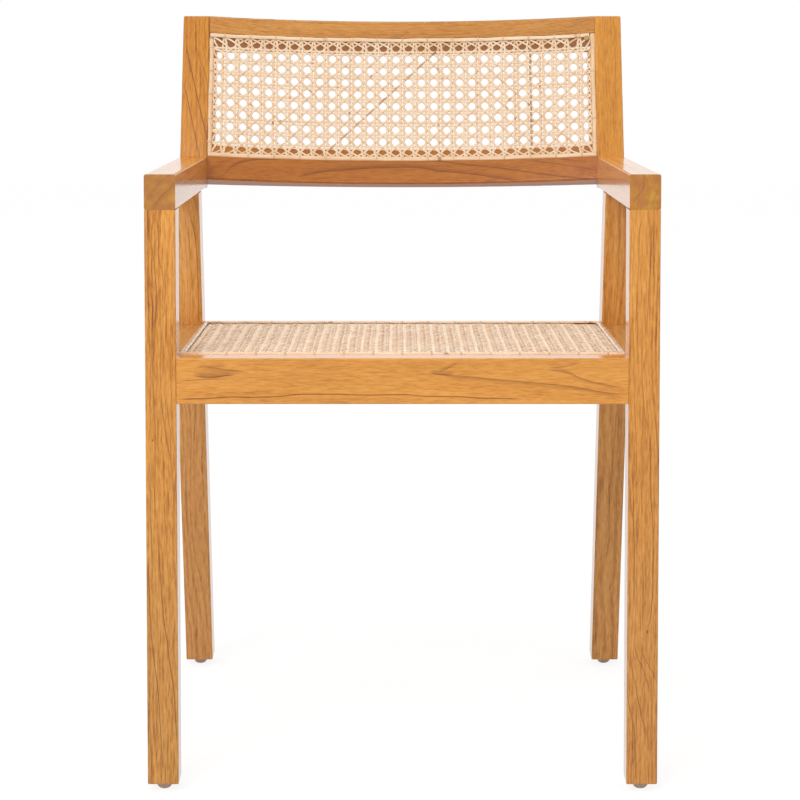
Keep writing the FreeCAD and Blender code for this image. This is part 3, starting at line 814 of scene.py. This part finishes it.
def growth_rings(shade, wood, ripple, grain):
    # The place from one ring to the next, from 0 to 1, and how much darker late wood shows there
    radius = shade.vector("LENGTH", shade.vector("MULTIPLY", wood, (1, 1, 0)), output="Value")
    radius = shade.times(shade.fibres(wood, *WANDER_NOISE), grain.wander, radius)
    radius = shade.times(ripple, RIPPLE, radius)
    turns = shade.math("DIVIDE", radius, grain.spacing)
    uneven = shade.add("CombineXYZ", {"X": shade.times(turns, UNEVEN_RATE)}).outputs[0]
    turns = shade.times(shade.noise(uneven), UNEVEN, turns)
    ring = shade.math("FRACT", turns)
    late = shade.remap(ring, *LATE, 0, 1, smooth=True)
    late = shade.times(late, shade.remap(ring, *RING_END, 1, 0))
    strong = shade.random_of(shade.math("FLOOR", turns))
    return ring, shade.times(late, shade.remap(strong, 0, 1, FAINTEST_RING, 1))


def teak(name, centre, grain):
    shade = material_nodes("teak_" + name)
    place = shade.add("TexCoord")
    position = place.outputs["Object"]
    parts = shade.add("SeparateXYZ", {"Vector": position}).outputs
    wood = log_place(shade, position, centre, grain)
    ripple = shade.fibres(wood, *RIPPLE_NOISE)
    ring, late = growth_rings(shade, wood, ripple, grain)
    # Fibres, in three widths, and pores, all long and thin along the grain
    broad = shade.fibres(wood, *BROAD_NOISE)
    medium = shade.fibres(wood, *MEDIUM_NOISE)
    fine = shade.fibres(wood, *FINE_NOISE)
    pores = shade.remap(shade.fibres(wood, *PORE_NOISE), 0.6, 0.72)
    pores = shade.times(pores, shade.remap(ring, 0, 0.5, 1, 0.2))
    dark = shade.remap(medium, 0.5, 0.68, smooth=True)
    depth = shade.times(late, grain.rings, DEPTH)
    depth = shade.about(broad, DEPTH_BROAD, depth)
    depth = shade.times(dark, DEPTH_DARK * grain.streaks, depth)
    depth = shade.about(fine, DEPTH_FINE + DEPTH_STREAKS * grain.streaks, depth)
    depth = shade.times(pores, DEPTH_PORES, depth, clamp=True)
    colour = shade.ramp(depth, (0, TEAK_PALE), (0.34, TEAK_MIDDLE), (0.68, TEAK_DEEP), (1, TEAK_STREAK))
    # Ends of the fibres are darker and duller, with broad soft arcs
    facing = shade.vector("DOT_PRODUCT", place.outputs["Normal"], grain.axis, output="Value")
    end = shade.remap(shade.math("ABSOLUTE", facing), 0.8, 0.96, smooth=True)
    arcs = shade.times(late, 0.2, shade.times(fine, 0.25))
    end_tone = shade.ramp(broad, (0.3, TEAK_END_RED), (0.5, TEAK_END), (0.7, TEAK_END_PALE))
    colour = shade.mix(end, colour, shade.mix(arcs, end_tone, TEAK_STREAK))
    if grain.figures:
        wobble = shade.about(medium, LINE_FIBRE, shade.about(ripple, LINE_RIPPLE))
        colour = shade.mix(figure_share(shade, parts, wobble, grain), colour, TEAK_LINE)
    # Painted shade on the recessed lip under the back's cane
    if grain.shaded_lip:
        colour = shade.mix(painted_shade_share(shade, position, grain.shaded_lip), colour, TEAK_PAINTED_SHADE)
    # The whole member's tint, and its slow drift
    drift = shade.remap(shade.fibres(wood, *DRIFT_NOISE), 0.3, 0.7, 0.95, 1.05)
    scaled = shade.add("VectorMath", {0: colour, "Scale": drift}, operation="SCALE").outputs[0]
    toned = shade.vector("MULTIPLY", scaled, grain.tint)
    if grain.foot:
        near = shade.remap(parts["Z"], *FOOT_HEIGHTS, 1, 0, smooth=True)
        toned = shade.mix(near, toned, shade.vector("MULTIPLY", toned, grain.foot))
    height = shade.times(pores, -0.8, shade.times(fine, 0.5, late))
    return shade.finish(
        Base_Color=toned,
        Roughness=shade.remap(depth, 0, 1, 0.5, 0.4),
        IOR=1.2,
        Normal=shade.bump(height, 0.1 * MM, 0.4),
        Coat_Weight=1.0,
        Coat_Roughness=0.15,
        Coat_IOR=1.38,
    )


CANE_PALE = linear(252, 232, 205)
CANE_MIDDLE = linear(247, 216, 178)
CANE_TAN = linear(230, 186, 138)
CANE_BROWN = linear(170, 120, 72)
# Changes of a strand's fibres and of its soft clouds, over its width and per metre of its length
CANE_FIBRES = (11, 26)
CANE_CLOUDS = (1.5, 42)
# Nodes per metre of cane, and half a node's ring as a share of the way to the next: its core and all of it
CANE_NODES = 3.1
CANE_NODE_SHARES = (0.003, 0.012)


def cane(name, pale_share, gloss, tint):
    # Peeled cane: each strand has its own tone, fine fibres, darker edges and a node now and then
    shade = material_nodes("cane_" + name)
    strand = shade.add("Attribute", attribute_name="strand").outputs["Vector"]
    parts = shade.add("SeparateXYZ", {"Vector": strand}).outputs
    across, along, number = parts["X"], parts["Y"], parts["Z"]

    def strand_noise(rates, roughness):
        place = {"X": shade.times(across, rates[0]), "Y": shade.times(along, rates[1]),
                 "Z": shade.times(number, 91)}
        return shade.noise(shade.add("CombineXYZ", place).outputs[0], roughness=roughness)

    fibres = strand_noise(CANE_FIBRES, 0.6)
    clouds = strand_noise(CANE_CLOUDS, 0.5)
    tone = shade.about(clouds, 0.9, shade.times(shade.random_of(number), 0.62))
    tone = shade.about(fibres, 0.45, tone)
    tone = shade.math("ADD", tone, shade.remap(shade.math("ABSOLUTE", across), 0.34, 0.5, 0, 0.22))
    tone = shade.times(shade.math("GREATER_THAN", number, 1), 0.5, tone)
    # Where a leaf grew from the cane, a thin darker ring crosses the strand
    node = shade.times(along, CANE_NODES, shade.times(number, 17))
    node = shade.math("ABSOLUTE", shade.math("SUBTRACT", shade.math("FRACT", node), 0.5))
    node = shade.remap(node, *CANE_NODE_SHARES, 0.45, 0)
    tone = shade.math("ADD", tone, node, clamp=True)
    tone = shade.ramp(tone, (0, CANE_PALE), (pale_share, CANE_MIDDLE), (0.82, CANE_TAN), (1, CANE_BROWN))
    # The tint is a panel's painted sheen or shade, or the ties' darker tint
    return shade.finish(
        Base_Color=shade.vector("MULTIPLY", tone, tint),
        Roughness=shade.remap(fibres, 0.3, 0.7, 0.34, 0.5),
        Normal=shade.bump(shade.times(node, 1.5, fibres), 0.05 * MM, 0.5),
        Coat_Weight=1.0,
        Coat_Roughness=0.2,
        Coat_IOR=gloss,
    )


def turned_wood(name, pale, deep):
    # Plain pale wood with upright pores, for dowels and pegs
    shade = material_nodes(name)
    place = shade.add("TexCoord").outputs["Object"]
    fibres = shade.fibres(place, 900, 40, 3, 0.6)
    tone = shade.times(fibres, 0.5)
    tone = shade.times(shade.fibres(place, 160, 8), 0.5, tone)
    return shade.plain(tone, ((0.3, pale), (0.72, deep)), (0.5, 0.66), fibres, 0.08 * MM)


def nylon():
    # Moulded beige-grey nylon, faintly pebbled and scuffed
    shade = material_nodes("glide_nylon")
    place = shade.add("TexCoord").outputs["Object"]
    pebble = shade.noise(place, 2600)
    scuff = shade.noise(place, 420, 3, 0.6)
    stops = ((0.35, linear(200, 168, 144)), (0.7, linear(234, 204, 178)))
    return shade.plain(scuff, stops, (0.36, 0.55), pebble, 0.03 * MM)


def zinc():
    # Bright plated steel with fine drawn lines
    shade = material_nodes("nail_steel")
    lines = shade.fibres(shade.add("TexCoord").outputs["Object"], 3000, 200)
    stops = ((0.3, linear(176, 177, 180)), (0.7, linear(214, 214, 216)))
    return shade.plain(lines, stops, (0.24, 0.4), lines, 0.02 * MM, Metallic=1)


def dress(node, material):
    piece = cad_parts[node]
    if not piece.material_slots:
        piece.data.materials.append(material)
    for slot in piece.material_slots:
        slot.material = material


# Wooden members
FRONT_LEFT_LINES = (
    (0.9, 0, ((385, -271.9), (386.6, -271.8), (388.2, -271.7))),
    (0.45, 0, ((545, -267), (573, -269), (587, -270.2), (601, -272.5), (629, -275))),
    (0.45, 1.5, ((545, -258), (568, -260.6), (591, -265), (605, -264), (619, -265.3), (632, -267.6))),
    (0.35, 0, ((480, -275), (545, -276.5), (564, -277.4), (582, -279), (628, -277.8))),
    (0.4, 0, ((440, -262.5), (500, -263), (560, -262.5))),
    (0.5, 0.8, ((357, -251.4), (380.5, -255.7), (402.5, -259), (416, -261), (440, -262.5))),
    (0.45, 0.8, ((386, -251), (395, -252.3), (408, -254.4), (419.5, -255.8), (430, -257))),
    (0.5, 0.8, ((250, -273.8), (275, -274.2), (303, -275.7), (330, -275), (365, -276))),
    (0.35, 0, ((330, -271), (400, -269), (470, -272), (540, -270))),
    (0.6, 1.2, ((20, -262.7), (67, -265.5), (112, -268.2), (147, -272.2), (190, -275.7), (260, -277.5))),
    (0.65, 1.5, ((52, -248), (73, -248.6), (98, -250), (114, -251), (139, -254.6), (166, -257.5),
                 (190, -261), (270, -266))),
)
FRONT_RIGHT_LINES = (
    (0.4, 0, ((500, 253), (554, 255), (581, 256.4), (615, 257), (625, 258.8), (632, 256))),
    (0.45, 1.2, ((500, 265), (545, 267), (585, 269), (603, 269.7), (616, 270), (629, 271.2))),
    (0.3, 0, ((330, 262), (400, 264), (470, 260), (520, 262))),
    (0.55, 1.2, ((178.5, 268.7), (188.5, 270.6), (211, 273.2), (233, 274.2), (278, 273.9), (319, 271.4),
                 (353, 270), (400, 271))),
    (0.9, 0, ((175.5, 268.4), (177, 268.5), (179, 268.6))),
    (0.5, -1.5, ((205, 253), (233, 253.6), (261.5, 253.7), (291.5, 252.7), (319, 249), (340, 247.5))),
    (0.4, 0.6, ((180, 262.5), (188.5, 262.8), (222, 263.7), (250, 263), (265, 263))),
    (0.5, 0.8, ((105, 273), (112, 271.4), (121, 268.6), (137, 263.7), (150, 257.5), (170, 253))),
    (0.5, 0.8, ((119, 279.3), (123.5, 278), (132, 274.3), (142, 269), (151.5, 263.7), (160, 261.5))),
    (0.5, 0.8, ((57, 266.7), (71, 265.4), (86, 262.2), (102, 258.5), (118, 255.8), (134, 252), (160, 249))),
    (0.5, 0.8, ((12, 256.5), (49, 255.7), (67, 254.4), (82, 251.8), (98, 248), (115, 246))),
)
ARM_LEFT_LINES = ((0.4, 6, ((638, -271), (643.4, -267), (652, -260), (658.3, -252.5), (666, -246))),)
ARM_RIGHT_LINES = (
    (0.4, -3, ((640, 247), (645, 251), (652.3, 255.8), (659.5, 260.7), (672.8, 261.4), (680, 261.5))),
    (0.3, -3, ((640, 271), (647, 273), (656, 276), (664, 278))),
)
FRONT_RAIL_LINES = (
    (0.5, 2, ((-246, 451), (-232, 451.6), (-219, 452.7), (-205, 453.4), (-190, 453.2))),
    (0.5, -4, ((-227, 461), (-222, 466), (-208, 467.4), (-190, 467.6))),
    (0.9, 9, ((-228, 460), (-222, 456), (-210, 455.5), (-196, 456.5), (-180, 458))),
    (0.6, -5, ((-221, 464), (-213, 466), (-203, 465), (-190, 463), (-168, 461))),
    (0.8, 7, ((29, 459.5), (37, 458.6), (45, 457.6), (58, 457))),
    (0.75, 0.8, ((-246, 431.5), (-208, 432.7), (-186, 433.9), (-164, 433.4), (-136, 433.9), (-112, 436.6),
                 (-74, 437), (-45, 436), (0, 436.4), (18, 434.9), (62, 433.8), (92, 432.4), (130, 432))),
    (0.6, -6, ((36, 460.5), (44, 459), (51, 457.4), (66, 456), (95, 453.2), (139, 449.6), (183, 444.9),
               (219, 438.6), (241, 436))),
    (0.55, 5, ((36, 461), (45, 463), (52, 466.6), (62, 471.5))),
    (0.6, -4, ((164, 464.5), (178, 461.2), (190, 455.4), (205, 450.3), (219, 447.4), (242, 444))),
    (0.45, 4, ((160, 465), (175, 466.3), (184, 468.4), (196, 471.5))),
    (0.6, 5, ((157, 462.5), (166, 461.8), (176, 460), (188, 456.5))),
)
LOWER_RAIL_LINES = (
    (0.6, 5, ((-226, 634), (-223, 640), (-219, 643.6), (-212, 649), (-201, 652.9), (-185, 655.2),
              (-150, 655.5))),
    (0.65, 6, ((-135, 628), (-123, 635.8), (-112, 638), (-99, 640.4), (-59, 643.6), (4, 645.4), (48, 640.8),
               (99, 635.9), (139, 630.2), (150, 628))),
    (0.6, 2, ((19, 653.8), (45, 652.5), (74, 649.7), (116, 645.7), (158, 640.4), (200, 635.9), (240, 632))),
    (0.5, 1.5, ((160, 656.8), (180, 652.5), (201, 649.7), (234, 645.3), (250, 643))),
    (0.45, 1, ((197, 657), (218, 654.7), (238, 652))),
)
POST_LEFT_LINES = (
    (0.8, 0.6, ((660, -241), (677, -244.7), (700, -251.3), (724, -257.8), (745, -263.3), (768, -268.7),
                (785, -272.8), (800, -276))),
    (0.7, 0.6, ((650, -253), (664, -256.4), (681, -260.5), (709, -267.3), (734, -273.3), (752, -278))),
    (0.45, 1, ((722, -241), (735, -244.8), (759, -250.3), (777, -256.7), (792, -262), (814, -263.7),
               (834, -265))),
    (0.6, -1.5, ((770, -246.6), (801, -247.2), (816, -247), (834, -248))),
)
REAR_LEFT_LINES = (
    (0.5, 1, ((300, -262), (420, -254), (527, -249.8), (564, -251.2), (586, -254.8), (611, -260.4))),
)
# Between these heights the top rail's recessed lip gets painted shade
TOP_RAIL_SHADED_LIP = (BACK_HOLES[1] - BACK_HOLE_INSET, BACK_HOLES[1] + 2 * MM)

MEMBERS = {
    "front_leg_left": Grain(UP_FRONT, (58, 34), (1.0, 1.0, 0.92), 0.3, streaks=1.0,
                            figures=FRONT_LEFT_LINES, foot=(0.87, 0.92, 1.12)),
    "front_leg_right": Grain(UP_FRONT, (-64, 22), (0.96, 0.95, 0.88), 1.7, streaks=0.85,
                             figures=FRONT_RIGHT_LINES, foot=(0.97, 1.0, 1.25)),
    "rear_leg_left": Grain(UP_REAR, (40, 52), (1.04, 1.18, 1.7), 2.9, figures=REAR_LEFT_LINES,
                           foot=(0.92, 0.86, 0.88)),
    "rear_leg_right": Grain(UP_REAR, (-38, 60), (0.95, 1.02, 1.35), 4.1),
    "armrest_left": Grain(ALONG_ARM, (46, 40), (0.98, 0.97, 0.95), 5.3, spacing=13 * MM,
                          figures=ARM_LEFT_LINES),
    "armrest_right": Grain(ALONG_ARM, (-60, 10), (1.08, 1.06, 0.9), 6.1, spacing=13 * MM,
                           figures=ARM_RIGHT_LINES),
    # The seat's side rails' grey-blue tint is a painted sheen of the white room on them
    "seat_side_rail_left": Grain(ALONG_SIDE, (20, 70), (0.86, 1.0, 1.55), 7.7),
    "seat_side_rail_right": Grain(ALONG_SIDE, (-20, 66), (0.86, 1.0, 1.55), 8.3),
    "seat_front_rail": Grain(ACROSS, (10, 90), (1.06, 1.06, 1.0), 9.9, wander=20 * MM, rings=0.12,
                             streaks=0.3, run="X", across="Z", figures=FRONT_RAIL_LINES),
    "seat_back_rail": Grain(ACROSS, (24, 80), (0.97, 0.97, 0.97), 10.7),
    "back_post_left": Grain(UP_POST, (44, 40), (0.84, 0.77, 0.35), 11.3, streaks=0.7,
                            figures=POST_LEFT_LINES),
    "back_post_right": Grain(UP_POST, (-50, 36), (0.91, 0.88, 0.58), 12.9, rings=0.15),
    "back_top_rail": Grain(ACROSS, (-40, 60), (0.79, 0.8, 0.85), 13.5, rings=0.2, streaks=0.45,
                           shaded_lip=TOP_RAIL_SHADED_LIP),
    "back_lower_rail": Grain(ACROSS, (36, 44), (0.6, 0.45, 0.2), 14.1, wander=48 * MM, rings=0.12,
                             streaks=0.4, run="X", across="Z", figures=LOWER_RAIL_LINES),
}

for node, grain in MEMBERS.items():
    dress(node, teak(node, middle_of(node), grain))

# Dowels, pegs, glides and their nails
FITTINGS = (
    (turned_wood("dowel_beech", linear(226, 198, 158), linear(196, 160, 116)),
     ("front_leg_dowels", "rear_leg_dowels", "armrest_dowels")),
    (turned_wood("cane_peg", linear(240, 214, 172), linear(206, 168, 118)),
     ("seat_cane_pegs", "back_cane_pegs")),
    (nylon(), ("front_glide_left", "front_glide_right", "rear_glide_left", "rear_glide_right")),
    (zinc(), ("glide_nails",)),
)
for material, nodes in FITTINGS:
    for node in nodes:
        dress(node, material)

# Cane: its gloss and tint on each panel, and how much of its tones is pale. The tints paint light on one
# cane: a painted sheen lightens the seat's, painted shade darkens the back's
CANE_GLOSS_AND_PAINTED_LIGHT = {"seat": (1.5, (1.04, 1.04, 1.06)), "back": (1.35, (0.91, 0.87, 0.83))}
STRAND_PALE_SHARE = 0.42
BINDER_PALE_SHARE = 0.34
TIE_PALE_SHARE = 0.2
TIE_TINT = (0.8, 0.74, 0.62)
for panel in (SEAT, BACK):
    node = panel.name + "_cane"
    # The panel's tint is painted light: sheen on the seat, shade on the back
    gloss, tint = CANE_GLOSS_AND_PAINTED_LIGHT[panel.name]
    strand_cane = cane(panel.name + "_strands", STRAND_PALE_SHARE, gloss, tint)
    binder_cane = cane(panel.name + "_binders", BINDER_PALE_SHARE, gloss, tint)
    tie_cane = cane(panel.name + "_ties", TIE_PALE_SHARE, gloss, TIE_TINT)
    weave = Weave(panel)
    layers = (
        ("_columns", 31, weave.add_columns, ()),
        ("_rows", 37, weave.add_rows, ()),
        ("_diagonals_falling", 40, weave.add_diagonals, (-1,)),
        ("_diagonals_rising", 42, weave.add_diagonals, (1,)),
    )
    for ending, seed, add, slope in layers:
        strands = Strands(node + ending, seed)
        add(strands, *slope)
        strands.build(strand_cane, node)
    for line in edge_lines(panel):
        binder(panel, *line, binder_cane)
    ties(panel, tie_cane)
    stitches(panel, strand_cane)
corner_peg(BACK, turned_wood("back_corner_peg", linear(206, 160, 104), linear(176, 128, 74)))

# Light: a white room, one soft lamp over the camera's left shoulder and a small one overhead
WHITE = (1, 1, 1)
ROOM_LIGHT = 0.66
LAMP_AIM = Vector((0, 0, 0.5))
# Each lamp's name, place, width and power
LAMPS = (
    ("key", Vector((-1.1, -2.9, 2.6)), 2.2, 56),
    ("overhead", Vector((0, 0.1, 3.0)), 0.9, 7),
)
FLOOR_HALF = 8
FLOOR_GREY = (0.66, 0.66, 0.66)
# As the camera sees the floor: it glows, and its faint own colour keeps the chair's shadow
FLOOR_GLOW = 0.86
FLOOR_FAINT = (0.2, 0.2, 0.2)


def seen_rays(shade):
    # 1 for rays from the camera, or seen in a gloss or through a clear thing
    rays = shade.add("LightPath").outputs
    seen = shade.math("MAXIMUM", rays["Is Camera Ray"], rays["Is Glossy Ray"])
    return shade.math("MAXIMUM", seen, rays["Is Transmission Ray"])


def make_world():
    world = bpy.data.worlds.new("white_room")
    shade = Shader(world)
    light = shade.add("Background", {"Color": WHITE, "Strength": ROOM_LIGHT}).outputs[0]
    white = shade.add("Background", {"Color": WHITE, "Strength": 1}).outputs[0]
    mix = shade.add("MixShader", {0: seen_rays(shade), 1: light, 2: white}).outputs[0]
    shade.add("OutputWorld", {"Surface": mix})
    bpy.context.scene.world = world


def make_floor():
    corners = [(x * FLOOR_HALF, y * FLOOR_HALF, 0) for x, y in ((-1, -1), (1, -1), (1, 1), (-1, 1))]
    mesh = bpy.data.meshes.new("floor")
    mesh.from_pydata(corners, [], [(0, 1, 2, 3)])
    floor = link("floor", mesh)
    shade = material_nodes("floor_white")
    matt = shade.add("BsdfDiffuse", {"Color": FLOOR_GREY}).outputs[0]
    faint = shade.add("BsdfDiffuse", {"Color": FLOOR_FAINT}).outputs[0]
    glow = shade.add("Emission", {"Color": WHITE, "Strength": FLOOR_GLOW}).outputs[0]
    both = shade.add("AddShader", {0: faint, 1: glow}).outputs[0]
    mix = shade.add("MixShader", {0: seen_rays(shade), 1: matt, 2: both}).outputs[0]
    shade.add("OutputMaterial", {"Surface": mix})
    mesh.materials.append(shade.owner)


def make_lamp(name, place, width, power):
    data = bpy.data.lights.new(name, "AREA")
    data.shape = "DISK"
    data.size = width
    data.energy = power
    lamp = link(name, data)
    lamp.location = place
    lamp.rotation_euler = (LAMP_AIM - place).to_track_quat("-Z", "Y").to_euler()


def make_camera():
    data = bpy.data.cameras.new("camera")
    data.sensor_width = SENSOR_WIDTH
    data.lens = SENSOR_WIDTH * PHOTO_FOCUS_PIXELS / PHOTO_PIXELS
    camera = link("camera", data)
    camera.location = CAMERA_PLACE
    camera.rotation_euler = (math.pi / 2 - CAMERA_PITCH, 0, 0)
    bpy.context.scene.camera = camera


make_world()
make_floor()
for lamp in LAMPS:
    make_lamp(*lamp)
make_camera()
bpy.context.scene.view_settings.view_transform = "Standard"
